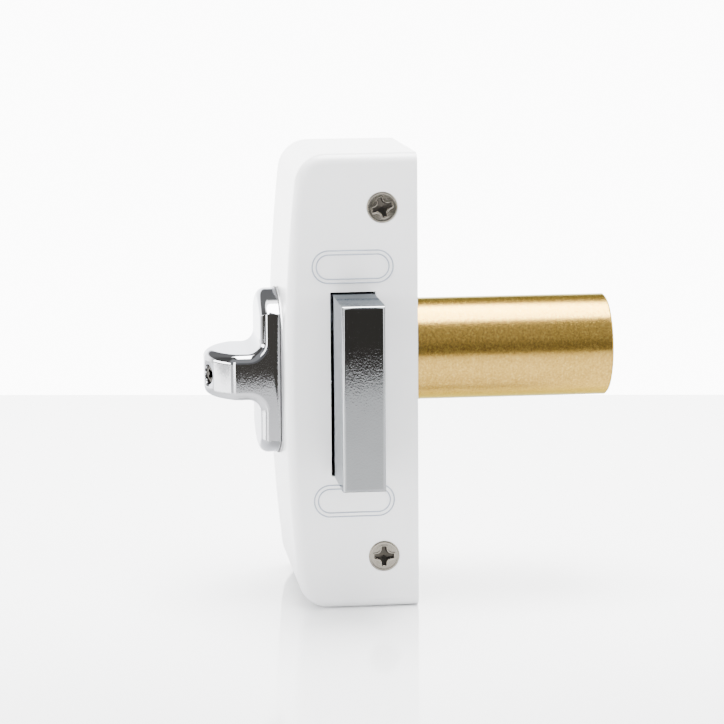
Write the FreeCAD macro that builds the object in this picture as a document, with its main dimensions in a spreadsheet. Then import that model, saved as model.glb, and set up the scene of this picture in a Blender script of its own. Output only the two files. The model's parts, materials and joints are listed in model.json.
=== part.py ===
import FreeCAD, Part
import math
import os

import Sketcher
from FreeCAD import Placement, Rotation, Vector

# Rim deadbolt. The door face is the plane Y = 0, the room is on the -Y side, the cylinder
# points to +Y and the bolt is thrown to +X. The origin is on the turning axis of the
# thumb-turn and the plug. "Depth" below is the distance from the door face into the room, -Y.

SIZES = [
    # Case
    ("case_height", 131.0, "height of the case"),
    ("case_width", 58.0, "width of the case along the throw of the bolt"),
    ("case_depth", 37.8, "depth of the case at mid height"),
    ("setback", 30.0, "turning axis to the end face that the bolt leaves"),
    ("front_radius", 520.0, "bow of the front, seen from the end"),
    ("case_corner", 9.0, "radius between the front and the top or bottom"),
    ("case_round", 3.0, "radius round both end faces"),
    ("case_wall", 2.2, "wall of the case"),
    ("end_wall", 2.6, "wall of the end face that the bolt leaves"),
    ("boss_radius", 15.0, "boss behind the thumb-turn"),
    ("boss_thick", 3.4, "front of the case to the flat of the boss"),
    ("seat_radius", 24.4, "flat seat of the rosette on the bowed front"),
    ("seat_sink", 0.8, "that seat below the crown of the front"),
    ("screw_gap", 0.15, "screws in their clearance holes"),
    # Base plate
    ("plate_thick", 2.0, "base plate"),
    ("plate_gap", 0.15, "base plate to the walls of the case"),
    ("plate_corner", 4.0, "corner radius of the base plate"),
    ("tongue_width", 10.0, "tongue that hooks the plate in the far wall"),
    ("tongue_reach", 1.2, "how far a tongue enters the far wall"),
    ("tongue_height", 38.0, "height of a tongue above and below the axis"),
    ("fixing_hole", 2.75, "radius of a door screw hole"),
    ("fixing_sink", 4.6, "radius of a door screw countersink"),
    ("fixing_spread", 12.5, "door screw holes to each side of the axis"),
    ("fixing_height", 48.0, "door screw holes above and below the axis"),
    # Cover screws and their lugs
    ("cover_screw_depth", 10.0, "cover screws from the door face"),
    ("cover_screw_height", 50.3, "cover screws above and below the axis"),
    ("cover_screw_radius", 2.5, "cover screw thread"),
    ("cover_head_radius", 4.7, "cover screw head"),
    ("cover_screw_length", 12.5, "cover screw under the end face"),
    ("lug_size", 10.0, "side of a lug, up and down"),
    ("lug_length", 9.5, "length of a lug along the screw"),
    ("lug_depth", 15.0, "front of a lug from the door face"),
    ("lug_gap", 0.2, "lug to the end wall"),
    # Bolt
    ("bolt_gap", 0.6, "front of the bolt to the end of the spindle"),
    ("bolt_thick", 12.0, "thickness of the bolt"),
    ("bolt_height", 52.0, "height of the bolt"),
    ("bolt_reach", 26.0, "thrown bolt beyond the end face"),
    ("bolt_round", 1.0, "edge radius of the bolt tip"),
    ("bolt_tail", 0.3, "tail end of the thrown bolt past the axis"),
    ("slot_gap", 0.5, "bolt to the slot in the end face"),
    ("shoulder_step", 3.5, "stop shoulder above and below the bolt"),
    ("shoulder_gap", 0.2, "stop shoulder to the end wall"),
    ("slide_gap", 0.05, "bolt to the faces of its guides"),
    ("edge_gap", 0.1, "bolt to the bottom of a guide groove"),
    ("pass_gap", 0.7, "tailpiece to the slot through the bolt"),
    # Guides
    ("guide_lip", 2.5, "lip of a guide in front of the bolt"),
    ("guide_web", 3.4, "guide beyond the bottom of its groove"),
    ("guide_overlap", 2.9, "depth of a guide groove"),
    ("guide_margin", 0.5, "guide to the inside of the case, each end"),
    ("guide_screw_radius", 2.0, "guide screw thread"),
    ("guide_head_radius", 3.9, "guide screw head"),
    ("guide_screw_length", 8.0, "guide screw"),
    ("guide_screw_x_far", -17.0, "guide screws, far side"),
    ("guide_screw_x_near", 18.0, "guide screws, bolt side"),
    # Quadrant and rack
    ("gear_module", 2.0, "module of the teeth"),
    ("gear_addendum", 1.6, "tooth above the pitch line"),
    ("gear_dedendum", 2.0, "tooth below the pitch line"),
    ("tooth_play", 0.08, "each flank drawn back from the pitch line"),
    ("gear_thick", 4.6, "thickness of the quadrant"),
    ("gear_hub", 11.5, "hub radius of the quadrant"),
    ("rack_height", 7.0, "back of the rack above the tooth roots"),
    ("rack_under", 0.4, "front of the rack under the front of the quadrant"),
    ("rack_screw_radius", 1.5, "rack screw thread"),
    ("rack_head_radius", 2.9, "rack screw head"),
    ("rack_screw_length", 13.0, "rack screw"),
    ("rack_screw_first", 5.5, "first rack screw from the axis"),
    ("rack_screw_pitch", 14.0, "between the rack screws"),
    ("hole_reserve", 0.5, "blind screw holes beyond their screws"),
    # Spindle, bush and what is stacked on them
    ("bush_flange_radius", 13.0, "flange of the bush"),
    ("bush_flange", 1.2, "thickness of that flange"),
    ("bush_radius", 9.0, "barrel of the bush"),
    ("journal_radius", 6.5, "spindle in the bush"),
    ("running_gap", 0.05, "turning parts in their bores"),
    ("spring_washer_thick", 0.6, "friction washer behind the bush"),
    ("spring_washer_radius", 10.5, "friction washer, outside"),
    ("shoulder_radius", 11.0, "shoulder of the spindle"),
    ("shoulder_thick", 1.6, "thickness of that shoulder"),
    ("drive_radius", 7.5, "inner end of the spindle"),
    ("drive_flat", 6.0, "flats of the inner end from the axis"),
    ("circlip_thick", 0.8, "both circlips"),
    ("circlip_rim", 1.9, "spindle circlip outside its shaft"),
    ("plug_circlip_rim", 1.2, "plug circlip outside the plug"),
    ("circlip_mouth", 2.2, "half of the opening of a circlip"),
    ("circlip_groove", 0.6, "depth of a circlip groove"),
    ("spindle_lip", 0.5, "spindle past its circlip"),
    ("square_side", 9.0, "square end in the thumb-turn"),
    ("square_length", 11.8, "length of that square"),
    ("square_gap", 0.1, "square end in its socket"),
    ("butterfly_depth", 5.7, "driving slot in the spindle"),
    ("butterfly_gap", 0.3, "tailpiece to the round of the driving slot"),
    ("blade_gap", 0.1, "tailpiece to the walls of the driving slot"),
    # Thumb-turn
    ("rosette_radius", 24.0, "rosette"),
    ("rosette_thick", 0.8, "rosette"),
    ("glide_thick", 0.3, "glide washer under the foot of the thumb-turn"),
    ("glide_margin", 0.3, "glide washer beyond the outline of that foot"),
    ("turn_gap", 0.05, "rosette to the glide washer"),
    ("turn_radius", 24.2, "foot of the thumb-turn"),
    ("turn_length", 31.0, "wing and flats of the thumb-turn"),
    ("turn_foot", 5.5, "thickness of the foot"),
    ("wing_thick", 13.4, "wing of the thumb-turn"),
    ("wing_reach", 15.6, "wing beyond the foot"),
    ("wing_fillet", 3.6, "fillet between wing and foot"),
    ("nose_radius", 19.0, "bow of the wing tip, seen from above"),
    ("nose_corner", 4.5, "corners of the wing tip, seen from above"),
    ("nose_flat", 0.15, "depth of the bow that the flat middle of the wing tip takes off"),
    ("turn_edge", 2.7, "rounding all round the foot and the wing"),
    ("turn_screw_radius", 2.0, "thumb-turn screw thread"),
    ("turn_head_radius", 2.9, "thumb-turn screw head"),
    ("turn_head_height", 3.0, "thumb-turn screw head"),
    ("turn_screw_x", 6.2, "mouth of the screw hole from the middle of the wing tip"),
    ("turn_screw_aim", 12.7, "from that mouth down to where the screw would cross the turning axis"),
    ("turn_head_sink", 4.0, "seat of its head from the mouth of the hole"),
    ("turn_screw_length", 12.0, "thumb-turn screw under its head"),
    # Cylinder
    ("cylinder_radius", 15.0, "cylinder body"),
    ("cylinder_length", 60.0, "cylinder body"),
    ("cylinder_rise", 5.2, "middle of the cylinder above the plug"),
    ("cylinder_edge", 0.5, "chamfer of the cylinder"),
    ("plug_radius", 6.5, "bore of the plug"),
    ("plug_length", 36.0, "plug"),
    ("plug_head_radius", 8.0, "head of the plug"),
    ("plug_head", 1.6, "thickness of that head"),
    ("rear_bore", 8.0, "bore behind the plug"),
    ("plug_tail", 1.5, "plug past the shoulder of its bore"),
    ("keyway_width", 2.2, "keyway"),
    ("keyway_top", 2.4, "keyway above the axis"),
    ("keyway_bottom", 5.6, "keyway below the axis"),
    ("keyway_step", 2.5, "side groove of the keyway below the axis"),
    ("keyway_length", 29.6, "keyway"),
    ("pin_radius", 1.5, "pin chambers"),
    ("pin_gap", 0.05, "pins in their chambers"),
    ("pin_first", 6.4, "first pin from the outer end"),
    ("pin_pitch", 5.4, "between pins"),
    ("pin_floor", 1.2, "bottom of the pin holes below the axis"),
    ("driver_height", 4.6, "driver pins"),
    ("pin_spring_height", 5.8, "pin springs"),
    ("pin_spring_wall", 0.45, "wire of the pin springs"),
    ("cylinder_screw_x", 10.4, "cylinder screws to each side"),
    ("cylinder_screw_radius", 2.5, "cylinder screw thread"),
    ("cylinder_screw_length", 12.0, "cylinder screw in the cylinder"),
    ("cylinder_head_radius", 4.4, "cylinder screw head"),
    ("cylinder_head_height", 3.0, "cylinder screw head"),
    # Tailpiece
    ("blade_width", 7.4, "tailpiece"),
    ("blade_thick", 1.6, "tailpiece"),
    ("blade_root", 5.6, "tailpiece in the plug"),
    ("blade_end_gap", 0.6, "end of the tailpiece to the bottom of the driving slot"),
    ("tail_pin_radius", 1.0, "cross pin of the tailpiece"),
    ("tail_pin_inset", 0.5, "ends of the cross pin under the skin of the plug"),
    ("blade_corner", 1.4, "corners of the end of the tailpiece"),
    ("tail_hole_gap", 2.3, "tailpiece to the hole in the base plate"),
]

GEAR_TEETH = 16             # of the full circle
QUADRANT_TEETH = 5
PIN_COUNT = 5
OVERCUT = 1.0               # cutting shapes past the faces that they open
AXIS_LENGTH = 1.0           # drawn length of the axes that sketches turn about
QUARTER = math.pi / 2
PRESSURE_ANGLE = math.radians(20.0)
FOOT_SPREAD = 0.02          # tooth foot wider than the base of its involute, in radians
SCREW_SLOT_WIDTH = 0.42     # cross slots as shares of the head radius
SCREW_SLOT_LENGTH = 1.15
SCREW_SLOT_DEPTH = 0.38

doc = FreeCAD.newDocument("RimDeadbolt")
sheet = doc.addObject("Spreadsheet::Sheet", "Sizes")


class Size:
    """A number together with the sheet expression that gives it."""

    def __init__(self, value, text=None):
        self.value = float(value)
        self.text = text if text is not None else repr(float(value))

    def joined(self, sign, other, value):
        return Size(value, f"({self.text} {sign} {other.text})")

    def __add__(self, other):
        other = as_size(other)
        return self.joined("+", other, self.value + other.value)

    def __sub__(self, other):
        other = as_size(other)
        return self.joined("-", other, self.value - other.value)

    def __mul__(self, other):
        other = as_size(other)
        return self.joined("*", other, self.value * other.value)

    def __truediv__(self, other):
        other = as_size(other)
        return self.joined("/", other, self.value / other.value)

    def __neg__(self):
        return Size(-self.value, f"(-1 * {self.text})")

    def __radd__(self, other):
        return as_size(other) + self

    def __rsub__(self, other):
        return as_size(other) - self

    def __rmul__(self, other):
        return as_size(other) * self

    def root(self):
        return Size(math.sqrt(self.value), f"sqrt({self.text})")


def as_size(number):
    return number if isinstance(number, Size) else Size(number)


ZERO = Size(0.0)


def fill_sheet():
    """Write the driving sizes into the sheet and return them by name."""
    named = {}
    for row, (name, value, note) in enumerate(SIZES, start=1):
        sheet.set(f"A{row}", name)
        sheet.set(f"B{row}", str(value))
        sheet.set(f"C{row}", note)
        sheet.setAlias(f"B{row}", name)
        named[name] = Size(value, f"Sizes.{name}")
    doc.recompute()
    return named


S = fill_sheet()


def bind(target, path, size):
    """Set a property from a size and keep it bound to the sheet."""
    target.setExpression(path, as_size(size).text)


# Sketch tools

def new_body(label):
    body = doc.addObject("PartDesign::Body", label)
    body.Label = label
    return body


def new_sketch(body, plane, offset=ZERO):
    """A sketch on one of the body's own origin planes: XY, XZ (looking to the door) or YZ."""
    sketch = body.newObject("Sketcher::SketchObject", f"{body.Name}_sketch")
    support = [f for f in body.Origin.OriginFeatures if f.Role == f"{plane}_Plane"][0]
    sketch.AttachmentSupport = [(support, "")]
    sketch.MapMode = "FlatFace"
    bind(sketch, "AttachmentOffset.Base.z", offset)
    return sketch


def hold(sketch, kind, size, *places):
    """Add one dimension that the sheet drives."""
    index = sketch.addConstraint(Sketcher.Constraint(kind, *places, as_size(size).value))
    bind(sketch, f"Constraints[{index}]", size)


def hold_point(sketch, geometry, position, x, y):
    hold(sketch, "DistanceX", x, -1, 1, geometry, position)
    hold(sketch, "DistanceY", y, -1, 1, geometry, position)


def add_loop(sketch, points):
    """A closed outline of straight lines through points given as sizes."""
    points = [(as_size(x), as_size(y)) for x, y in points]
    places = [Vector(x.value, y.value, 0) for x, y in points]
    lines = [
        sketch.addGeometry(Part.LineSegment(places[i], places[(i + 1) % len(places)]), False)
        for i in range(len(places))
    ]
    for i, line in enumerate(lines):
        follower = lines[(i + 1) % len(lines)]
        sketch.addConstraint(Sketcher.Constraint("Coincident", line, 2, follower, 1))
        hold_point(sketch, line, 1, *points[i])


def add_box(sketch, left, bottom, right, top):
    add_loop(sketch, [(left, bottom), (right, bottom), (right, top), (left, top)])


def add_circle(sketch, x, y, radius):
    x, y, radius = as_size(x), as_size(y), as_size(radius)
    shape = Part.Circle(Vector(x.value, y.value, 0), Vector(0, 0, 1), radius.value)
    circle = sketch.addGeometry(shape, False)
    hold_point(sketch, circle, 3, x, y)
    hold(sketch, "Radius", radius, circle)


def add_feature(body, kind, sketch, length, reverse=False, both=False):
    feature = body.newObject(f"PartDesign::{kind}", f"{body.Name}_{kind.lower()}")
    feature.Profile = sketch
    sketch.Visibility = False
    feature.Reversed = reverse
    if both:
        feature.SideType = "Symmetric"
    bind(feature, "Length", length)
    doc.recompute()
    return feature


def pad(body, sketch, length, reverse=False, both=False):
    return add_feature(body, "Pad", sketch, length, reverse, both)


def pocket(body, sketch, length, reverse=False, both=False):
    """Cut a sketch out of the body and make sure that it really cuts."""
    before = body.Shape.Volume
    feature = add_feature(body, "Pocket", sketch, length, reverse, both)
    if feature.Shape.Volume > before - 1e-6:
        raise RuntimeError(f"a pocket of {body.Label} cuts nothing")
    return feature


def disc(body, depth, radius, thick, x=ZERO, z=ZERO):
    """A round pad on the Y axis direction, from one depth further into the room."""
    sketch = new_sketch(body, "XZ", depth)
    add_circle(sketch, x, z, radius)
    return pad(body, sketch, thick)


def bore(body, depth, radius, length, x=ZERO, z=ZERO):
    """A round hole from one depth further into the room."""
    sketch = new_sketch(body, "XZ", depth)
    add_circle(sketch, x, z, radius)
    return pocket(body, sketch, length, reverse=True)


def slab(body, depth, left, bottom, right, top, thick):
    sketch = new_sketch(body, "XZ", depth)
    add_box(sketch, left, bottom, right, top)
    return pad(body, sketch, thick)


def window(body, depth, left, bottom, right, top, length):
    sketch = new_sketch(body, "XZ", depth)
    add_box(sketch, left, bottom, right, top)
    return pocket(body, sketch, length, reverse=True)


def spin(body, sketch, start, end, groove):
    """Turn a sketch about the line between two of its points, to add it or to cut with it."""
    start_place, end_place = (Vector(x.value, y.value, 0) for x, y in (start, end))
    axis = sketch.addGeometry(Part.LineSegment(start_place, end_place), True)
    hold_point(sketch, axis, 1, *start)
    hold_point(sketch, axis, 2, *end)
    kind = "Groove" if groove else "Revolution"
    feature = body.newObject(f"PartDesign::{kind}", f"{body.Name}_{kind.lower()}")
    feature.Profile = sketch
    feature.ReferenceAxis = (sketch, ["Axis0"])
    feature.Angle = 360.0
    doc.recompute()
    return feature


def revolve(body, points, x=ZERO, z=ZERO, groove=False):
    """Turn an outline of (radius, depth) points about an axis that runs along Y."""
    sketch = new_sketch(body, "XY", z)
    add_loop(sketch, [(x + as_size(radius), -as_size(depth)) for radius, depth in points])
    return spin(body, sketch, (x, ZERO), (x, Size(AXIS_LENGTH)), groove)


def slanted_bore(body, radius, start, end):
    """A round hole about the leaning screw of the thumb-turn, between two distances from its mouth."""
    x, y = S["turn_screw_x"], -mouth_depth

    def spot(along, aside):
        return (x - lean_sine * along + lean_cosine * aside,
                y + lean_cosine * along + lean_sine * aside)

    sketch = new_sketch(body, "XY", ZERO)
    low, high = spot(start, ZERO), spot(end, ZERO)
    add_loop(sketch, [low, spot(start, radius), spot(end, radius), high])
    return spin(body, sketch, low, high, True)


def edges_where(shape, test):
    return [f"Edge{i}" for i, edge in enumerate(shape.Edges, start=1) if test(edge)]


def soften(body, radius, test, kind="Fillet"):
    """Fillet or chamfer the edges of the body's tip that pass the test."""
    tip = body.Tip
    names = edges_where(tip.Shape, test)
    if not names:
        raise RuntimeError(f"no edges to soften on {body.Label}")
    feature = body.newObject(f"PartDesign::{kind}", f"{body.Name}_{kind.lower()}")
    feature.Base = (tip, names)
    bind(feature, "Radius" if kind == "Fillet" else "Size", radius)
    doc.recompute()
    return feature


def near(a, b, slack=0.01):
    return abs(a - as_size(b).value) < slack


# Sizes that follow from the driving ones

half_height = S["case_height"] / 2
near_x = S["setback"]
far_x = S["setback"] - S["case_width"]
inner_near_x = near_x - S["end_wall"]
inner_far_x = far_x + S["case_wall"]
boss_depth = S["case_depth"] - S["boss_thick"]

pitch_radius = S["gear_module"] * GEAR_TEETH / 2
travel = pitch_radius * QUARTER
tooth_pitch = S["gear_module"] * math.pi
pitch_angle = 2 * math.pi / GEAR_TEETH

bolt_half = S["bolt_height"] / 2
bolt_tip_x = near_x + S["bolt_reach"]
bolt_tail_x = -S["bolt_tail"]
shoulder_half = bolt_half + S["shoulder_step"]
shoulder_x = inner_near_x - S["shoulder_gap"]

bush_back = boss_depth - S["bush_flange"]
shoulder_front = bush_back - S["spring_washer_thick"]
gear_front = shoulder_front - S["shoulder_thick"]
gear_back = gear_front - S["gear_thick"]
spindle_back = gear_back - S["circlip_thick"] - S["spindle_lip"]
bolt_front = spindle_back - S["bolt_gap"]
bolt_back = bolt_front - S["bolt_thick"]
rack_front = gear_front - S["rack_under"]
rack_thick = rack_front - bolt_front
seat_front = S["case_depth"] - S["seat_sink"]
rosette_front = seat_front + S["rosette_thick"]
glide_back = rosette_front + S["turn_gap"]
turn_back = glide_back + S["glide_thick"]
foot_front = turn_back + S["turn_foot"]
wing_tip = foot_front + S["wing_reach"]
square_end = turn_back + S["square_length"]
screw_run = (S["turn_screw_x"] * S["turn_screw_x"] + S["turn_screw_aim"] * S["turn_screw_aim"]).root()
lean_sine = S["turn_screw_x"] / screw_run
lean_cosine = S["turn_screw_aim"] / screw_run
bow_middle = wing_tip + S["nose_flat"] - S["nose_radius"]
mouth_reach = (S["nose_radius"] * S["nose_radius"] - S["turn_screw_x"] * S["turn_screw_x"]).root()
mouth_depth = bow_middle + mouth_reach
square_from_mouth = (mouth_depth - square_end) / lean_cosine
turn_screw_end = S["turn_head_sink"] + S["turn_screw_length"]
butterfly_end = spindle_back + S["butterfly_depth"]
blade_end = butterfly_end - S["blade_end_gap"]
blade_half = S["blade_width"] / 2
pass_half = blade_half + S["pass_gap"]
groove_half = shoulder_half + S["edge_gap"]

outer_end = -S["cylinder_length"]
plug_back = outer_end + S["plug_length"]
plug_shoulder = plug_back - S["plug_tail"]
root_end = plug_back - S["blade_root"]


# The case

def shell_outline(sketch, back, half, depth, bow, corner):
    """The case seen from its end: flat back, flat top and bottom, bowed front."""
    middle_x = (bow - depth).value
    corner_z = (half - corner).value
    reach = math.sqrt((bow - corner).value ** 2 - corner_z ** 2)
    corner_x = middle_x - reach
    share = bow.value / (bow - corner).value
    front_point = (middle_x - reach * share, corner_z * share)
    steep = math.atan2(front_point[1], middle_x - front_point[0])
    b, h = back.value, half.value

    def arc(x, z, radius, start, end):
        circle = Part.Circle(Vector(x, z, 0), Vector(0, 0, 1), radius)
        return sketch.addGeometry(Part.ArcOfCircle(circle, start, end), False)

    back_line = sketch.addGeometry(Part.LineSegment(Vector(b, -h, 0), Vector(b, h, 0)), False)
    top = sketch.addGeometry(Part.LineSegment(Vector(b, h, 0), Vector(corner_x, h, 0)), False)
    upper = arc(corner_x, corner_z, corner.value, QUARTER, math.pi - steep)
    front = arc(middle_x, 0, bow.value, math.pi - steep, math.pi + steep)
    lower = arc(corner_x, -corner_z, corner.value, math.pi + steep, 3 * QUARTER)
    bottom = sketch.addGeometry(Part.LineSegment(Vector(corner_x, -h, 0), Vector(b, -h, 0)), False)

    def tie(kind, *places):
        sketch.addConstraint(Sketcher.Constraint(kind, *places))

    tie("Coincident", back_line, 2, top, 1)
    tie("Coincident", bottom, 2, back_line, 1)
    tie("Tangent", top, 2, upper, 1)
    tie("Tangent", upper, 2, front, 1)
    tie("Tangent", front, 2, lower, 1)
    tie("Tangent", lower, 2, bottom, 1)
    tie("Horizontal", top)
    tie("Horizontal", bottom)
    hold_point(sketch, back_line, 1, back, -half)
    hold_point(sketch, back_line, 2, back, half)
    hold(sketch, "Radius", corner, upper)
    hold(sketch, "Radius", corner, lower)
    hold(sketch, "Radius", bow, front)
    hold_point(sketch, front, 3, bow - depth, ZERO)


def make_case():
    body = new_body("case_cover")
    outline = new_sketch(body, "YZ", far_x)
    shell_outline(outline, ZERO, half_height, S["case_depth"], S["front_radius"], S["case_corner"])
    pad(body, outline, S["case_width"])

    def on_an_end(edge):
        box = edge.BoundBox
        at_end = box.XLength < 0.01 and (near(box.XMin, near_x) or near(box.XMin, far_x))
        return at_end and not near(box.YMin, 0)

    soften(body, S["case_round"], on_an_end)
    wall = S["case_wall"]
    cavity = new_sketch(body, "YZ", inner_far_x)
    shell_outline(cavity, wall, half_height - wall, S["case_depth"] - wall,
                  S["front_radius"] - wall, S["case_corner"] - wall)
    pocket(body, cavity, inner_near_x - inner_far_x, reverse=True)
    bore(body, seat_front, S["seat_radius"], S["seat_sink"] + OVERCUT)
    disc(body, seat_front - wall / 2, S["seat_radius"], wall / 2)
    disc(body, boss_depth, S["boss_radius"], S["boss_thick"] - wall / 2)
    bore(body, boss_depth - OVERCUT, S["bush_radius"], S["boss_thick"] + 2 * OVERCUT)
    slot = new_sketch(body, "YZ", near_x + OVERCUT)
    gap = S["slot_gap"]
    add_box(slot, -(bolt_front + gap), -(bolt_half + gap), -(bolt_back - gap), bolt_half + gap)
    pocket(body, slot, S["end_wall"] + 2 * OVERCUT)
    for side in (-1, 1):
        sink_screw_hole(body, side * S["cover_screw_height"])
        notch = new_sketch(body, "YZ", inner_far_x)
        middle = side * S["tongue_height"]
        reach = S["tongue_width"] / 2 + S["plate_gap"]
        add_box(notch, -(S["plate_thick"] + S["plate_gap"]), middle - reach, Size(OVERCUT), middle + reach)
        pocket(body, notch, S["tongue_reach"] + S["plate_gap"])
    return body


def sink_screw_hole(body, z):
    """A countersunk hole through the end wall, along X."""
    sketch = new_sketch(body, "XY", z)
    y = -S["cover_screw_depth"]
    shank = S["cover_screw_radius"] + S["screw_gap"]
    head = S["cover_head_radius"]
    points = [
        (near_x, y), (near_x, y + head), (near_x - (head - shank), y + shank),
        (inner_near_x - OVERCUT, y + shank), (inner_near_x - OVERCUT, y),
    ]
    add_loop(sketch, points)
    spin(body, sketch, (ZERO, y), (Size(AXIS_LENGTH), y), True)


def make_base_plate():
    body = new_body("base_plate")
    gap = S["plate_gap"]
    left, right = inner_far_x + gap, inner_near_x - gap
    top = half_height - S["case_wall"] - gap
    slab(body, ZERO, left, -top, right, top, S["plate_thick"])
    soften(body, S["plate_corner"], lambda e: near(e.BoundBox.YLength, S["plate_thick"])
           and e.BoundBox.XLength < 0.01 and e.BoundBox.ZLength < 0.01)
    for side in (-1, 1):
        middle = side * S["tongue_height"]
        half = S["tongue_width"] / 2
        slab(body, ZERO, left - gap - S["tongue_reach"], middle - half, left + OVERCUT, middle + half,
             S["plate_thick"])
    through = S["plate_thick"] + 2 * OVERCUT
    bore(body, Size(-OVERCUT), blade_half + S["tail_hole_gap"], through)
    for side in (-1, 1):
        bore(body, Size(-OVERCUT), S["cylinder_screw_radius"] + S["screw_gap"], through,
             x=side * S["cylinder_screw_x"], z=S["cylinder_rise"])
        for x in (S["guide_screw_x_far"], S["guide_screw_x_near"]):
            plate_sink(body, S["guide_screw_radius"] + S["screw_gap"], S["guide_head_radius"], False,
                       x, side * guide_screw_height)
        for x in (-S["fixing_spread"], S["fixing_spread"]):
            plate_sink(body, S["fixing_hole"], S["fixing_sink"], True, x, side * S["fixing_height"])
    return body


def plate_sink(body, shank, head, from_room, x, z):
    """A countersunk hole through the base plate, sunk on the room side or on the door side."""
    thick = S["plate_thick"]
    slope = head - shank
    if from_room:
        points = [(ZERO, thick), (head, thick), (shank, thick - slope), (shank, ZERO), (ZERO, ZERO)]
    else:
        points = [(ZERO, ZERO), (head, ZERO), (shank, slope), (shank, thick), (ZERO, thick)]
    revolve(body, points, x, z, groove=True)


# The guides, lugs and the bolt

guide_screw_height = groove_half + S["guide_web"] / 2
guide_far_x = inner_far_x + S["guide_margin"]
guide_near_x = inner_near_x - S["guide_margin"]


def make_guide(label, side):
    body = new_body(label)
    section = new_sketch(body, "YZ", guide_far_x)
    back = -S["plate_thick"]
    front = -(bolt_front + S["slide_gap"] + S["guide_lip"])
    groove_back = -(bolt_back - S["slide_gap"])
    groove_front = -(bolt_front + S["slide_gap"])
    inner = side * (groove_half - S["guide_overlap"])
    bottom = side * groove_half
    outer = side * (groove_half + S["guide_web"])
    add_loop(section, [(back, inner), (groove_back, inner), (groove_back, bottom),
                       (groove_front, bottom), (groove_front, inner), (front, inner),
                       (front, outer), (back, outer)])
    pad(body, section, guide_near_x - guide_far_x)
    for x in (S["guide_screw_x_far"], S["guide_screw_x_near"]):
        bore(body, S["plate_thick"] - OVERCUT, S["guide_screw_radius"],
             S["guide_screw_length"] - S["plate_thick"] + S["hole_reserve"] + OVERCUT,
             x=x, z=side * guide_screw_height)
    return body


def make_bolt():
    body = new_body("bolt")
    slab(body, bolt_back, bolt_tail_x, -bolt_half, bolt_tip_x, bolt_half, S["bolt_thick"])

    def at_the_tip(edge):
        return near(edge.BoundBox.XMin, bolt_tip_x) and near(edge.BoundBox.XMax, bolt_tip_x)

    soften(body, S["bolt_round"], at_the_tip)
    slab(body, bolt_back, bolt_tail_x, -shoulder_half, shoulder_x, shoulder_half, S["bolt_thick"])
    behind, through = bolt_back - OVERCUT, S["bolt_thick"] + 2 * OVERCUT
    window(body, behind, bolt_tail_x - OVERCUT, -pass_half, travel, pass_half, through)
    bore(body, behind, pass_half, through, x=travel)
    for x in rack_screw_places:
        length = S["rack_screw_length"] - rack_thick + S["hole_reserve"]
        bore(body, bolt_front - length, S["rack_screw_radius"], length + OVERCUT, x=x, z=rack_screw_height)
    return body


# Quadrant, rack and their teeth

rack_root = pitch_radius + S["gear_dedendum"]
rack_top = rack_root + S["rack_height"]
rack_screw_height = rack_root + S["rack_height"] / 2
rack_screw_places = [S["rack_screw_first"], S["rack_screw_first"] + S["rack_screw_pitch"]]


def involute_flank(base, pitch, tip, root, half_angle):
    """One flank of a tooth that points up, from root to tip, as (x, z) points."""
    def involute(angle):
        return math.tan(angle) - angle

    inner = max(base, root)
    points = []
    steps = 8
    for i in range(steps + 1):
        radius = inner + (tip - inner) * i / steps
        off = half_angle + involute(PRESSURE_ANGLE) - involute(math.acos(min(1.0, base / radius)))
        points.append((radius * math.sin(off), radius * math.cos(off)))
    return points


def make_quadrant():
    """A toothed quadrant: five involute teeth on a sector and a hub with a two-flat hole."""
    pitch = pitch_radius.value
    base = pitch * math.cos(PRESSURE_ANGLE)
    tip = pitch + S["gear_addendum"].value
    root = pitch - S["gear_dedendum"].value
    back, thick = gear_back.value, S["gear_thick"].value
    half_angle = pitch_angle / 4 - S["tooth_play"].value / pitch
    flank = involute_flank(base, pitch, tip, root, half_angle)
    foot_angle = half_angle + FOOT_SPREAD
    foot = (root * math.sin(foot_angle), root * math.cos(foot_angle))

    def lift(points, turn, mirror):
        """Turn points about the axis from +Z towards +X and put them at the back of the gear."""
        lifted = []
        for x, z in points:
            x = -x if mirror else x
            lifted.append(Vector(x * math.cos(turn) + z * math.sin(turn), -back,
                                 z * math.cos(turn) - x * math.sin(turn)))
        return lifted

    edges = []
    first = previous = None
    for tooth in range(QUADRANT_TEETH):
        turn = tooth * pitch_angle
        rise = lift([foot] + flank, turn, True)
        fall = lift([foot] + flank, turn, False)
        fall.reverse()
        if previous is None:
            first = rise[0]
        else:
            middle_turn = turn - pitch_angle / 2
            middle = Vector(root * math.sin(middle_turn), -back, root * math.cos(middle_turn))
            edges.append(Part.Arc(previous, middle, rise[0]).toShape())
        edges.append(Part.LineSegment(rise[0], rise[1]).toShape())
        edges.append(flank_edge(rise[1:]))
        crest = Vector(tip * math.sin(turn), -back, tip * math.cos(turn))
        edges.append(Part.Arc(rise[-1], crest, fall[0]).toShape())
        edges.append(flank_edge(fall[:-1]))
        edges.append(Part.LineSegment(fall[-2], fall[-1]).toShape())
        previous = fall[-1]
    centre = Vector(0, -back, 0)
    edges.append(Part.LineSegment(previous, centre).toShape())
    edges.append(Part.LineSegment(centre, first).toShape())
    sector = Part.Face(Part.Wire(Part.__sortEdges__(edges)))
    solid = sector.extrude(Vector(0, -thick, 0))
    hub = Part.makeCylinder(S["gear_hub"].value, thick, centre, Vector(0, -1, 0))
    solid = solid.fuse(hub)
    hole = Part.makeCylinder(S["drive_radius"].value, thick, centre, Vector(0, -1, 0))
    flat = S["drive_flat"].value
    wide = 2 * S["gear_hub"].value
    between = Part.makeBox(wide, thick, 2 * flat, Vector(-wide / 2, -back - thick, -flat))
    solid = solid.cut(hole.common(between)).removeSplitter()
    feature = doc.addObject("Part::Feature", "quadrant_gear")
    feature.Label = "quadrant_gear"
    feature.Shape = solid
    return feature


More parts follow.
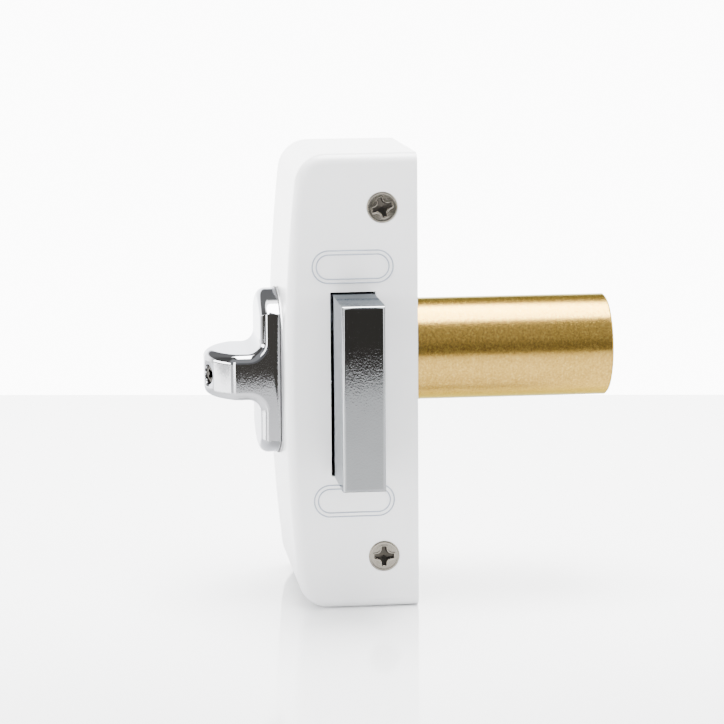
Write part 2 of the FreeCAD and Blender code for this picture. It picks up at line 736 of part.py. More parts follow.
def flank_edge(points):
    curve = Part.BSplineCurve()
    curve.interpolate(points)
    return curve.toShape()


def make_rack():
    """The rack: straight-sided teeth that point down, on a bar that is screwed to the bolt."""
    body = new_body("bolt_rack")
    sketch = new_sketch(body, "XZ", bolt_front)
    slope = math.tan(PRESSURE_ANGLE)
    half_pitch = tooth_pitch / 4 - S["tooth_play"]
    tip_half = half_pitch - S["gear_addendum"] * slope
    root_half = half_pitch + S["gear_dedendum"] * slope
    tip = pitch_radius - S["gear_addendum"]
    gaps = QUADRANT_TEETH - 1
    points = [(bolt_tail_x, rack_top), (bolt_tail_x, rack_root)]
    for i in range(gaps):
        middle = tooth_pitch * (i + 0.5)
        points += [(middle - root_half, rack_root), (middle - tip_half, tip),
                   (middle + tip_half, tip), (middle + root_half, rack_root)]
    end = tooth_pitch * gaps
    points += [(end, rack_root), (end, rack_top)]
    add_loop(sketch, points)
    pad(body, sketch, rack_thick)
    for x in rack_screw_places:
        front = rack_front
        head, shank = S["rack_head_radius"], S["rack_screw_radius"]
        revolve(body, [(ZERO, front), (head, front), (shank, front - (head - shank)),
                       (shank, bolt_front), (ZERO, bolt_front)], x, rack_screw_height, groove=True)
    return body


# Spindle, bush and washers

def make_spindle():
    body = new_body("spindle")
    disc(body, spindle_back, S["drive_radius"], gear_front - spindle_back)
    disc(body, gear_front, S["shoulder_radius"], S["shoulder_thick"])
    disc(body, shoulder_front, S["journal_radius"], turn_back - shoulder_front)
    half = S["square_side"] / 2
    slab(body, turn_back, -half, -half, half, half, S["square_length"])
    wide = S["drive_radius"] + OVERCUT
    flats = gear_front - spindle_back + OVERCUT
    window(body, spindle_back - OVERCUT, -wide, -wide, wide, -S["drive_flat"], flats)
    window(body, spindle_back - OVERCUT, -wide, S["drive_flat"], wide, wide, flats)
    neck = S["drive_radius"] - S["circlip_groove"]
    groove_back = gear_back - S["circlip_thick"]
    ring = new_sketch(body, "XZ", groove_back)
    add_circle(ring, ZERO, ZERO, wide)
    add_circle(ring, ZERO, ZERO, neck)
    pocket(body, ring, S["circlip_thick"], reverse=True)
    cut_butterfly(body)
    slanted_bore(body, S["turn_screw_radius"], square_from_mouth - 2 * OVERCUT,
                 turn_screw_end + S["hole_reserve"])
    return body


def cut_butterfly(body):
    """The driving slot: the tailpiece has a quarter turn of play in it before it drives."""
    half_slot = S["blade_thick"] / 2 + S["blade_gap"]
    reach = blade_half + S["butterfly_gap"]
    window(body, spindle_back, -half_slot, -reach, half_slot, reach, S["butterfly_depth"])
    window(body, spindle_back, -reach, -half_slot, reach, half_slot, S["butterfly_depth"])
    for side in (-1, 1):
        sketch = new_sketch(body, "XZ", spindle_back)
        r = reach.value
        start = 0.0 if side > 0 else math.pi
        circle = Part.Circle(Vector(0, 0, 0), Vector(0, 0, 1), r)
        arc = sketch.addGeometry(Part.ArcOfCircle(circle, start, start + QUARTER), False)
        flat = sketch.addGeometry(Part.LineSegment(Vector(0, 0, 0), Vector(side * r, 0, 0)), False)
        upright = sketch.addGeometry(Part.LineSegment(Vector(0, side * r, 0), Vector(0, 0, 0)), False)
        for tie in ((flat, 2, arc, 1), (arc, 2, upright, 1), (upright, 2, flat, 1)):
            sketch.addConstraint(Sketcher.Constraint("Coincident", *tie))
        sketch.addConstraint(Sketcher.Constraint("Coincident", flat, 1, -1, 1))
        sketch.addConstraint(Sketcher.Constraint("Coincident", arc, 3, -1, 1))
        sketch.addConstraint(Sketcher.Constraint("Horizontal", flat))
        sketch.addConstraint(Sketcher.Constraint("Vertical", upright))
        hold(sketch, "Radius", reach, arc)
        pocket(body, sketch, S["butterfly_depth"], reverse=True)


def make_ring(label, depth, outer, inner, thick):
    body = new_body(label)
    sketch = new_sketch(body, "XZ", depth)
    add_circle(sketch, ZERO, ZERO, outer)
    add_circle(sketch, ZERO, ZERO, inner)
    pad(body, sketch, thick)
    return body


def make_bush():
    bore_radius = S["journal_radius"] + S["running_gap"]
    body = make_ring("knob_bush", bush_back, S["bush_flange_radius"], bore_radius, S["bush_flange"])
    barrel = new_sketch(body, "XZ", boss_depth)
    add_circle(barrel, ZERO, ZERO, S["bush_radius"])
    add_circle(barrel, ZERO, ZERO, bore_radius)
    pad(body, barrel, rosette_front - boss_depth)
    return body


def make_circlip(label, depth, shaft, rim):
    """An open retaining ring in the groove of its shaft."""
    neck = shaft - S["circlip_groove"]
    body = make_ring(label, depth, shaft + rim, neck, S["circlip_thick"])
    mouth = S["circlip_mouth"]
    window(body, depth - OVERCUT, -mouth, ZERO, mouth, shaft + rim + OVERCUT,
           S["circlip_thick"] + 2 * OVERCUT)
    return body


# Thumb-turn

def flat_disc(body, depth, radius, half_length, thick):
    """A round slice with a flat to each side."""
    disc(body, depth, radius, thick)
    wide = radius + OVERCUT
    behind, through = depth - OVERCUT, thick + 2 * OVERCUT
    window(body, behind, half_length, -wide, wide, wide, through)
    window(body, behind, -wide, -wide, -half_length, wide, through)


def make_glide_washer():
    """A thin washer stuck under the foot of the thumb-turn, with the same outline."""
    body = new_body("glide_washer")
    margin = S["glide_margin"]
    flat_disc(body, glide_back, S["turn_radius"] + margin, S["turn_length"] / 2 + margin,
              S["glide_thick"])
    bore(body, glide_back - OVERCUT, S["journal_radius"] + S["running_gap"],
         S["glide_thick"] + 2 * OVERCUT)
    return body


def make_thumb_turn():
    body = new_body("thumb_turn")
    half_length = S["turn_length"] / 2
    flat_disc(body, turn_back, S["turn_radius"], half_length, S["turn_foot"])
    half_wing = S["wing_thick"] / 2
    wing = new_sketch(body, "YZ", -half_length)
    add_box(wing, -wing_tip, -half_wing, -(foot_front - S["turn_foot"] / 2), half_wing)
    pad(body, wing, S["turn_length"])
    cut_nose(body, half_length)

    def root_corner(edge):
        box = edge.BoundBox
        on_wing = near(abs(box.ZMin), half_wing) and box.ZLength < 0.01
        return near(box.YMin, -foot_front) and box.YLength < 0.01 and on_wing

    def outer_edge(edge):
        box = edge.BoundBox
        flat_y = box.YLength < 0.01
        on_end = box.XLength < 0.01 and near(abs(box.XMin), half_length)
        at_back = near(box.YMax, -turn_back)
        at_nose = flat_y and box.YMax < -(foot_front + S["wing_fillet"]).value
        round_foot = near(box.YMin, -foot_front) and flat_y and box.XLength > 0.01
        wing_outline = near(abs(box.ZMin), half_wing) and box.ZLength < 0.01
        on_foot = round_foot and box.ZLength > 0.01
        return (on_end and not at_back and not at_nose) or on_foot or wing_outline

    soften(body, S["wing_fillet"], root_corner)
    soften(body, S["turn_edge"], outer_edge)
    behind = turn_back - OVERCUT
    half_square = S["square_side"] / 2 + S["square_gap"]
    window(body, behind, -half_square, -half_square, half_square, half_square,
           S["square_length"] + S["square_gap"] + OVERCUT)
    slanted_bore(body, S["turn_screw_radius"] + S["square_gap"], S["turn_head_sink"] - OVERCUT,
                 turn_screw_end)
    slanted_bore(body, S["turn_head_radius"] + S["square_gap"], Size(-2 * OVERCUT), S["turn_head_sink"])
    return body


def cut_nose(body, half_length):
    """Round the wing tip as seen from above: a wide bow with a tighter corner at each end."""
    sketch = new_sketch(body, "XY", ZERO)
    tip_y = -(wing_tip + S["nose_flat"])
    bow, corner = S["nose_radius"], S["nose_corner"]
    reach = bow - corner
    corner_x = half_length - corner
    centre_y = tip_y + bow
    drop = (reach * reach - corner_x * corner_x).root()
    corner_y = centre_y - drop
    share = bow / reach
    touch = (corner_x * share, centre_y - drop * share)
    start = math.atan2((touch[1] - centre_y).value, touch[0].value)

    def arc(x, y, radius, begin, end):
        circle = Part.Circle(Vector(x, y, 0), Vector(0, 0, 1), radius)
        return sketch.addGeometry(Part.ArcOfCircle(circle, begin, end), False)

    half = half_length.value
    outside = (tip_y - 2 * OVERCUT).value
    c_x, c_y = corner_x.value, corner_y.value
    left = arc(-c_x, c_y, corner.value, math.pi, -math.pi - start + 2 * math.pi)
    middle = arc(0, centre_y.value, bow.value, -math.pi - start, start)
    right = arc(c_x, c_y, corner.value, start, 0)

    def line(x1, y1, x2, y2):
        return sketch.addGeometry(Part.LineSegment(Vector(x1, y1, 0), Vector(x2, y2, 0)), False)

    wide = half + OVERCUT
    shoulder_right = line(half, c_y, wide, c_y)
    side_right = line(wide, c_y, wide, outside)
    bottom = line(wide, outside, -wide, outside)
    side_left = line(-wide, outside, -wide, c_y)
    shoulder_left = line(-wide, c_y, -half, c_y)

    def tie(kind, *places):
        sketch.addConstraint(Sketcher.Constraint(kind, *places))

    tie("Coincident", shoulder_left, 2, left, 1)
    tie("Tangent", left, 2, middle, 1)
    tie("Tangent", middle, 2, right, 1)
    tie("Coincident", right, 2, shoulder_right, 1)
    tie("Coincident", shoulder_right, 2, side_right, 1)
    tie("Coincident", side_right, 2, bottom, 1)
    tie("Coincident", bottom, 2, side_left, 1)
    tie("Coincident", side_left, 2, shoulder_left, 1)
    tie("Horizontal", shoulder_left)
    tie("Horizontal", shoulder_right)
    tie("Horizontal", bottom)
    tie("Vertical", side_left)
    tie("Vertical", side_right)
    hold(sketch, "Radius", bow, middle)
    hold(sketch, "Radius", corner, left)
    hold(sketch, "Radius", corner, right)
    hold_point(sketch, middle, 3, ZERO, centre_y)
    tie("Horizontal", right, 3, right, 2)
    tie("Horizontal", left, 3, left, 1)
    hold(sketch, "DistanceX", -corner_x, -1, 1, left, 3)
    hold(sketch, "DistanceX", corner_x, -1, 1, right, 3)
    hold_point(sketch, bottom, 1, half_length + OVERCUT, tip_y - 2 * OVERCUT)
    hold(sketch, "DistanceX", -(half_length + OVERCUT), -1, 1, bottom, 2)
    pocket(body, sketch, S["wing_thick"] + 2 * OVERCUT, both=True)


# Cylinder

def chamber_places():
    return [outer_end + S["pin_first"] + S["pin_pitch"] * i for i in range(PIN_COUNT)]


def make_cylinder_body():
    body = new_body("cylinder_body")
    disc(body, outer_end, S["cylinder_radius"], S["cylinder_length"], z=S["cylinder_rise"])
    soften(body, S["cylinder_edge"], lambda e: near(e.BoundBox.YMin, -outer_end), "Chamfer")
    outside = outer_end - OVERCUT
    bore(body, outside, S["plug_radius"], S["cylinder_length"] + 2 * OVERCUT)
    bore(body, outside, S["plug_head_radius"] + S["running_gap"], S["plug_head"] + OVERCUT)
    bore(body, plug_shoulder, S["rear_bore"], OVERCUT - plug_shoulder)
    blind = S["cylinder_screw_length"] + S["hole_reserve"]
    for side in (-1, 1):
        bore(body, -blind, S["cylinder_screw_radius"], blind + OVERCUT,
             x=side * S["cylinder_screw_x"], z=S["cylinder_rise"])
    drill_chambers(body, ZERO)
    return body


def drill_chambers(body, low):
    """The row of pin holes, drilled up from the given height."""
    top = S["cylinder_radius"] + S["cylinder_rise"] + OVERCUT
    sketch = new_sketch(body, "XY", low)
    for depth in chamber_places():
        add_circle(sketch, ZERO, -depth, S["pin_radius"])
    pocket(body, sketch, top - low, reverse=True)


def make_plug():
    body = new_body("cylinder_plug")
    turned = S["plug_radius"] - S["running_gap"]
    disc(body, outer_end, S["plug_head_radius"], S["plug_head"])
    disc(body, outer_end, turned, S["plug_length"])
    groove = new_sketch(body, "XZ", plug_circlip_depth)
    add_circle(groove, ZERO, ZERO, turned + OVERCUT)
    add_circle(groove, ZERO, ZERO, turned - S["circlip_groove"])
    pocket(body, groove, S["circlip_thick"], reverse=True)
    half = S["keyway_width"] / 2
    outside, length = outer_end - OVERCUT, S["keyway_length"] + OVERCUT
    window(body, outside, -half, -S["keyway_bottom"], half, S["keyway_top"], length)
    step = S["keyway_step"]
    window(body, outside, ZERO, -step - half, S["keyway_width"], -step, length)
    drill_chambers(body, -S["pin_floor"])
    slot = S["blade_thick"] / 2
    window(body, root_end, -slot, -blade_half, slot, blade_half, S["blade_root"] + OVERCUT)
    cross_pin_hole(body)
    return body


plug_circlip_depth = plug_shoulder + S["running_gap"]
tail_pin_depth = plug_back - S["blade_root"] / 2


def cross_pin_hole(body):
    sketch = new_sketch(body, "YZ", ZERO)
    add_circle(sketch, -tail_pin_depth, ZERO, S["tail_pin_radius"])
    pocket(body, sketch, (S["plug_radius"] + OVERCUT) * 2, both=True)


def make_tailpiece():
    body = new_body("tailpiece")
    half = S["blade_thick"] / 2
    slab(body, root_end, -half, -blade_half, half, blade_half, blade_end - root_end)
    soften(body, S["blade_corner"], lambda e: near(e.BoundBox.YMin, -blade_end)
           and near(e.BoundBox.XLength, S["blade_thick"]))
    cross_pin_hole(body)
    return body


def make_tail_pin():
    body = new_body("tail_pin")
    half = S["plug_radius"] - S["running_gap"] - S["tail_pin_inset"]
    sketch = new_sketch(body, "YZ", -half)
    add_circle(sketch, -tail_pin_depth, ZERO, S["tail_pin_radius"])
    pad(body, sketch, half * 2)
    return body


# Pieces that come several to a node

def make_group(label, pieces):
    group = doc.addObject("Part::Compound", label)
    group.Label = label
    group.Links = pieces
    return group


def place(piece, x, depth, z, rotation=None):
    """Put a piece at a point with its own axis turned, the point bound to the sheet."""
    if rotation is not None:
        piece.Placement = Placement(Vector(0, 0, 0), rotation)
    bind(piece, "Placement.Base.x", x)
    bind(piece, "Placement.Base.y", -as_size(depth))
    bind(piece, "Placement.Base.z", z)


def rod(radius, height, name):
    piece = doc.addObject("Part::Cylinder", name)
    bind(piece, "Radius", radius)
    bind(piece, "Height", height)
    return piece


def combine(kind, name, first, second):
    piece = doc.addObject(f"Part::{kind}", name)
    piece.Base = first
    piece.Tool = second
    return piece


def cross_recess(head, turn, name):
    """Two crossed slots, centred on the axis and open at height zero."""
    bars = []
    for i in range(2):
        bar = doc.addObject("Part::Box", f"{name}_bar")
        length, width = head * SCREW_SLOT_LENGTH, head * SCREW_SLOT_WIDTH
        bind(bar, "Length", length)
        bind(bar, "Width", width)
        bind(bar, "Height", head * SCREW_SLOT_DEPTH)
        angle = turn + 90 * i
        across = Rotation(Vector(0, 0, 1), angle)
        corner = across.multVec(Vector(-length.value / 2, -width.value / 2, 0))
        bar.Placement = Placement(corner, across)
        bars.append(bar)
    return combine("Fuse", f"{name}_cross", *bars)


def sunk_screw(head, shank, length, name, turn=45, recess=True):
    """A countersunk screw with the top of its head at the origin, pointing to +Z."""
    cone = doc.addObject("Part::Cone", f"{name}_head")
    bind(cone, "Radius1", head)
    bind(cone, "Radius2", shank)
    bind(cone, "Height", head - shank)
    screw = combine("Fuse", f"{name}_blank", cone, rod(shank, length, f"{name}_shank"))
    if recess:
        screw = combine("Cut", name, screw, cross_recess(head, turn, name))
    return screw


def headed_screw(head, height, shank, length, name, turn=45):
    """A cheese-head screw with the top of its head at the origin, pointing to +Z."""
    blank = combine("Fuse", f"{name}_blank", rod(head, height, f"{name}_head"),
                    rod(shank, length + height, f"{name}_shank"))
    return combine("Cut", name, blank, cross_recess(head, turn, name))


TO_ROOM = Rotation(Vector(1, 0, 0), 90)
TO_DOOR = Rotation(Vector(1, 0, 0), -90)
TO_FAR_SIDE = Rotation(Vector(0, 1, 0), -90)


def make_cover_screws():
    screws = []
    for side, turn in ((1, 18), (-1, 0)):
        screw = sunk_screw(S["cover_head_radius"], S["cover_screw_radius"], S["cover_screw_length"],
                           "cover_screw", turn)
        place(screw, near_x, S["cover_screw_depth"], side * S["cover_screw_height"], TO_FAR_SIDE)
        screws.append(screw)
    return make_group("cover_screws", screws)


def make_cover_lugs():
    lugs = []
    for side in (-1, 1):
        block = doc.addObject("Part::Box", "lug_block")
        bind(block, "Length", S["lug_length"])
        bind(block, "Width", S["lug_depth"] - S["plate_thick"])
        bind(block, "Height", S["lug_size"])
        low = side * S["cover_screw_height"] - S["lug_size"] / 2
        place(block, inner_near_x - S["lug_gap"] - S["lug_length"], S["lug_depth"], low)
        hole = rod(S["cover_screw_radius"], S["lug_length"] + 2 * OVERCUT, "lug_hole")
        place(hole, inner_near_x - S["lug_gap"] + OVERCUT, S["cover_screw_depth"],
              side * S["cover_screw_height"], TO_FAR_SIDE)
        lugs.append(combine("Cut", "lug", block, hole))
    return make_group("cover_lugs", lugs)


def make_guide_screws():
    screws = []
    for side in (-1, 1):
        for x in (S["guide_screw_x_far"], S["guide_screw_x_near"]):
            screw = sunk_screw(S["guide_head_radius"], S["guide_screw_radius"],
                               S["guide_screw_length"], "guide_screw")
            place(screw, x, ZERO, side * guide_screw_height, TO_ROOM)
            screws.append(screw)
    return make_group("guide_screws", screws)


def make_rack_screws():
    screws = []
    for x in rack_screw_places:
        screw = sunk_screw(S["rack_head_radius"], S["rack_screw_radius"], S["rack_screw_length"],
                           "rack_screw")
        place(screw, x, rack_front, rack_screw_height, TO_DOOR)
        screws.append(screw)
    return make_group("rack_screws", screws)


def make_cylinder_screws():
    screws = []
    for side in (-1, 1):
        screw = headed_screw(S["cylinder_head_radius"], S["cylinder_head_height"],
                             S["cylinder_screw_radius"],
                             S["cylinder_screw_length"] + S["plate_thick"], "cylinder_screw")
        place(screw, side * S["cylinder_screw_x"], S["plate_thick"] + S["cylinder_head_height"],
              S["cylinder_rise"], TO_DOOR)
        screws.append(screw)
    return make_group("cylinder_screws", screws)


def make_turn_screw():
    screw = headed_screw(S["turn_head_radius"], S["turn_head_height"], S["turn_screw_radius"],
                         S["turn_screw_length"], "turn_screw")
    top = S["turn_head_sink"] - S["turn_head_height"]
    angle = math.degrees(math.asin(lean_sine.value))
    lean = Rotation(Vector(0, 0, 1), angle) * TO_DOOR
    place(screw, S["turn_screw_x"] - lean_sine * top, mouth_depth - lean_cosine * top, ZERO, lean)
    return make_group("thumb_turn_screw", [screw])


def make_pin_row(label, low, height, radius, bore_radius=None):
    pins = []
    for depth in chamber_places():
        pin = rod(radius, height, f"{label}_blank")
        place(pin, ZERO, depth, low)
        if bore_radius is not None:
            hole = rod(bore_radius, height, f"{label}_hole")
            place(hole, ZERO, depth, low)
            pin = combine("Cut", f"{label}_ring", pin, hole)
        pins.append(pin)
    return make_group(label, pins)


def make_chamber_plugs(low):
    """Brass plugs that close the pin chambers, turned flush with the cylinder."""
    plugs = []
    for depth in chamber_places():
        blank = rod(S["pin_radius"], S["cylinder_radius"] * 2, "chamber_plug_blank")
        place(blank, ZERO, depth, low)
        round_bar = rod(S["cylinder_radius"], S["pin_radius"] * 4, "chamber_plug_bar")
        place(round_bar, ZERO, depth - S["pin_radius"] * 2, S["cylinder_rise"], TO_ROOM)
        plugs.append(combine("Common", "chamber_plug", blank, round_bar))
    return make_group("chamber_plugs", plugs)


def build_all():
    nodes = [make_case(), make_base_plate(), make_cover_lugs(), make_cover_screws()]
    nodes += [make_guide("upper_guide", 1), make_guide("lower_guide", -1), make_guide_screws()]
    nodes += [make_bolt(), make_rack(), make_rack_screws()]
    nodes += [make_spindle(), make_quadrant()]
    nodes.append(make_circlip("spindle_circlip", gear_back - S["circlip_thick"], S["drive_radius"],
                              S["circlip_rim"]))
    nodes.append(make_bush())
    nodes.append(make_ring("friction_washer", shoulder_front, S["spring_washer_radius"],
                           S["journal_radius"] + S["running_gap"] * 2, S["spring_washer_thick"]))
    nodes.append(make_ring("rosette", seat_front, S["rosette_radius"], S["bush_radius"],
                           S["rosette_thick"]))
    nodes += [make_glide_washer(), make_thumb_turn(), make_turn_screw()]
    nodes += [make_cylinder_body(), make_cylinder_screws(), make_plug()]
    pin = S["pin_radius"] - S["pin_gap"]
    spring = pin - S["pin_gap"]
    shear = ((S["plug_radius"] - S["running_gap"]) * (S["plug_radius"] - S["running_gap"])
             - S["pin_radius"] * S["pin_radius"]).root()
    nodes.append(make_pin_row("key_pins", -S["pin_floor"], S["pin_floor"] + shear, pin))
    drivers = S["plug_radius"]
    nodes.append(make_pin_row("driver_pins", drivers, S["driver_height"], pin))
    springs = drivers + S["driver_height"]
    nodes.append(make_pin_row("pin_springs", springs, S["pin_spring_height"], spring,
                              spring - S["pin_spring_wall"]))
    nodes.append(make_chamber_plugs(springs + S["pin_spring_height"]))
    nodes.append(make_circlip("plug_circlip", plug_circlip_depth,
                              S["plug_radius"] - S["running_gap"], S["plug_circlip_rim"]))
    nodes += [make_tailpiece(), make_tail_pin()]
    return nodes


def check_document(nodes):
    """Stop before anything is written if an object has failed."""
    doc.recompute()
    for item in doc.Objects:
        if "Invalid" in item.State or "Error" in item.State:
            raise RuntimeError(f"{item.Label} has failed: {item.State}")
    for node in nodes:
        shape = node.Shape
        if shape.isNull() or not shape.isValid() or not shape.Solids:
            raise RuntimeError(f"{node.Label} has no valid solid")


def export_nodes(nodes):
    os.makedirs("parts", exist_ok=True)
    for node in nodes:
        node.Shape.exportStep(f"parts/{node.Label}.step")
        print(f"{node.Label}: {len(node.Shape.Solids)} solids, {node.Shape.Volume:.1f} mm3")


all_nodes = build_all()
check_document(all_nodes)
export_nodes(all_nodes)
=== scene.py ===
"""Finish, light and view of the rim deadbolt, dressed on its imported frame. Metres, +Z up."""

import json
import math

import bmesh
import bpy
from mathutils import Matrix, Vector


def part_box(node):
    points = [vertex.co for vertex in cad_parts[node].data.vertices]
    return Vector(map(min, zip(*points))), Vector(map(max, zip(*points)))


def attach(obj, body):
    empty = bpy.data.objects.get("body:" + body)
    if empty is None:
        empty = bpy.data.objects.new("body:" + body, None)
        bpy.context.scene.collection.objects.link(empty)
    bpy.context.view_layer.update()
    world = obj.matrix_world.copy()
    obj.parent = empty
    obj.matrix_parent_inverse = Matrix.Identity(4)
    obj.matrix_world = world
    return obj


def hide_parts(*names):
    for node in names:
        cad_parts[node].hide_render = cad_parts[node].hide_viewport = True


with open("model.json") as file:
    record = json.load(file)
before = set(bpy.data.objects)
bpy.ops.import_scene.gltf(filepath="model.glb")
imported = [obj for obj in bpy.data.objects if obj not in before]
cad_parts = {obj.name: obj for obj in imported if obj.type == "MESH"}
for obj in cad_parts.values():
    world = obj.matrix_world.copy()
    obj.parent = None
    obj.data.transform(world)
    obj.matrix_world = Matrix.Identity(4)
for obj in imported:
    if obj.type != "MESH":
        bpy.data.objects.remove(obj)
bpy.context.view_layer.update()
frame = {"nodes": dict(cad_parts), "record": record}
MM = 0.001
MICRON = 0.000001

slot_of = {entry["node"]: entry["material_slot"] for entry in frame["record"]["subparts"]}
body_of = {
    node: body for body, nodes in frame["record"]["behaviour"]["bodies"].items() for node in nodes
}

# Places on the lock that the finishes and the small pieces need
end_face_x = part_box("case_cover")[1][0]
table_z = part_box("case_cover")[0][2]
cover_screw_low, cover_screw_high = (Vector(corner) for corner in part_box("cover_screws"))
cover_screw_radius = (cover_screw_high.y - cover_screw_low.y) / 2
cover_screw_y = (cover_screw_high.y + cover_screw_low.y) / 2
cover_screw_z = cover_screw_high.z - cover_screw_radius


# Node building

class Wire:
    """One output of a node tree. Sums and products of wires add Math nodes."""

    def __init__(self, tree, socket):
        self.tree = tree
        self.socket = socket

    def math(self, operation, *others):
        return self.tree.add("ShaderNodeMath", {"operation": operation}, self, *others)

    def __add__(self, other):
        return self.math("ADD", other)

    def __sub__(self, other):
        return self.math("SUBTRACT", other)

    def __mul__(self, other):
        return self.math("MULTIPLY", other)

    def __truediv__(self, other):
        return self.math("DIVIDE", other)

    __radd__ = __add__
    __rmul__ = __mul__

    def __rsub__(self, other):
        return self.tree.add("ShaderNodeMath", {"operation": "SUBTRACT"}, other, self)

    def __abs__(self):
        return self.math("ABSOLUTE")

    def rise(self, low, high):
        """0 below low, 1 above high and smooth between."""
        return self.tree.add("ShaderNodeMapRange", {"interpolation_type": "SMOOTHSTEP"},
                             self, low, high, 0.0, 1.0)


class Tree:
    """The nodes of a material, of the world or of a geometry group."""

    def __init__(self, node_tree):
        self.nodes = node_tree.nodes
        self.links = node_tree.links
        self.nodes.clear()

    def feed(self, socket, value):
        """Lead a wire into an input, or set its value."""
        if isinstance(value, Wire):
            self.links.new(value.socket, socket)
        else:
            socket.default_value = value

    def add(self, kind, settings, *values, out=0, **named):
        """Make a node: settings first, then its inputs by order or by name."""
        node = self.nodes.new(kind)
        for name, value in settings.items():
            setattr(node, name, value)
        for place, value in list(enumerate(values)) + list(named.items()):
            if value is not None:
                key = place.replace("_", " ") if isinstance(place, str) else place
                self.feed(node.inputs[key], value)
        return Wire(self, node.outputs[out])

    def end(self, kind, wire):
        """Lead a wire into the output node of the tree."""
        self.links.new(wire.socket, self.nodes.new(kind).inputs[0])

    def point(self):
        return self.add("ShaderNodeTexCoord", {}, out="Object")

    def split(self, vector):
        parts = self.add("ShaderNodeSeparateXYZ", {}, vector)
        return [Wire(self, socket) for socket in parts.socket.node.outputs]

    def noise(self, vector, scale, detail=2.0, roughness=0.5):
        return self.add("ShaderNodeTexNoise", {}, Vector=vector, Scale=scale, Detail=detail,
                        Roughness=roughness)

    def stretch(self, vector, x, y, z):
        return self.add("ShaderNodeVectorMath", {"operation": "MULTIPLY"}, vector, (x, y, z))

    def mix(self, share, first, second):
        """Blend two colours."""
        node = self.nodes.new("ShaderNodeMix")
        node.data_type = "RGBA"
        inputs = {socket.identifier: socket for socket in node.inputs}
        outputs = {socket.identifier: socket for socket in node.outputs}
        self.feed(inputs["Factor_Float"], share)
        for name, colour in (("A_Color", first), ("B_Color", second)):
            self.feed(inputs[name], colour if isinstance(colour, Wire) else (*colour, 1.0))
        return Wire(self, outputs["Result_Color"])

    def bump(self, height, distance, normal=None):
        return self.add("ShaderNodeBump", {}, Strength=1.0, Distance=distance, Height=height,
                        Normal=normal)

    def surface(self, **sockets):
        shader = self.add("ShaderNodeBsdfPrincipled", {}, **sockets)
        self.end("ShaderNodeOutputMaterial", shader)


def new_finish(name):
    material = bpy.data.materials.new(name)
    material.use_nodes = True
    return material, Tree(material.node_tree)


# Finishes

CASTING_DRAFT = 0.0150
RING_PITCH = 0.28 * MM
# Depths below the end face over which the nickel darkens to near black: painted shade in the
# recesses
PAINTED_SHADE_DEPTHS = (0.25 * MM, 0.9 * MM)


def grained(name, scale, dark, light, roughness, depth=None, metallic=0.0):
    """A finish whose grain varies its colour, its roughness and its height.

    scale is one number for an even grain and three for a brushed one. roughness is the least
    value and what the grain adds to it, and depth the height of the grain.
    """
    material, tree = new_finish(name)
    point = tree.point()
    if isinstance(scale, tuple):
        point, scale = tree.stretch(point, *scale), 1.0
    grain = tree.noise(point, scale)
    least, spread = roughness
    tree.surface(Base_Color=tree.mix(grain, dark, light), Metallic=metallic,
                 Roughness=least + spread * grain,
                 Normal=tree.bump(grain, depth) if depth else None)
    return material


def powder_coat():
    """White powder coat: satin, with a fine orange peel and the faintest cloudiness."""
    material, tree = new_finish("white_powder_coat")
    point = tree.point()
    cloud = tree.noise(point, 35.0)
    peel = tree.noise(point, 1500.0, detail=1.0)
    colour = tree.mix(cloud, (0.71, 0.713, 0.718), (0.75, 0.752, 0.756))
    tree.surface(Base_Color=colour, Roughness=0.26 + 0.08 * tree.noise(point, 400.0),
                 Normal=tree.bump(peel, 12.0 * MICRON))
    return material


def polished_chrome(name, dark, light, edge, pitting, draft=0.0):
    """Chrome on a polished casting: slow waves and fine pits under the plating.

    edge is the tint at a flat angle and pitting the depth of the pits. draft leans the
    upright faces back a little, as a casting leaves its mould.
    """
    material, tree = new_finish(name)
    point = tree.point()
    waves = tree.noise(point, 160.0, detail=1.0)
    pits = tree.noise(point, 1800.0, roughness=0.6)
    height = tree.split(point)[2]
    leaning = tree.bump(height * -draft, 1.0) if draft else None
    waving = tree.bump(waves, 6.0 * MICRON, leaning)
    colour = tree.mix(tree.noise(point, 90.0), dark, light)
    tree.surface(Base_Color=colour, Metallic=1.0, Roughness=0.026 + 0.02 * pits,
                 Normal=tree.bump(pits, pitting, waving), Specular_Tint=edge)
    return material


def satin_brass():
    """Turned brass: fine lines round the cylinder, a few deeper ones, slight tarnish."""
    material, tree = new_finish("satin_brass")
    point = tree.point()
    lines = tree.noise(tree.stretch(point, 30.0, 5200.0, 30.0), 1.0, 3.0, 0.6)
    coarse = tree.noise(tree.stretch(point, 12.0, 900.0, 12.0), 1.0)
    cloud = tree.noise(point, 60.0, detail=3.0)
    speckle = tree.noise(point, 1500.0, 3.0, 0.7)
    bright_lines = lines.rise(0.35, 0.75) * 0.35
    dark_specks = speckle.rise(0.50, 0.68) * 0.5
    bright_specks = (1.0 - speckle).rise(0.50, 0.68) * 0.4
    colour = tree.mix(cloud, (0.275, 0.172, 0.032), (0.32, 0.198, 0.042))
    colour = tree.mix(bright_lines, colour, (0.38, 0.235, 0.07))
    colour = tree.mix(dark_specks, colour, (0.15, 0.088, 0.022))
    colour = tree.mix(bright_specks, colour, (0.50, 0.36, 0.10))
    tree.surface(Base_Color=colour, Metallic=1.0, Roughness=0.19 + 0.08 * coarse,
                 Normal=tree.bump(lines + 0.5 * coarse + 0.6 * speckle, 10.0 * MICRON),
                 Specular_Tint=(0.56, 0.575, 0.41, 1.0))
    return material


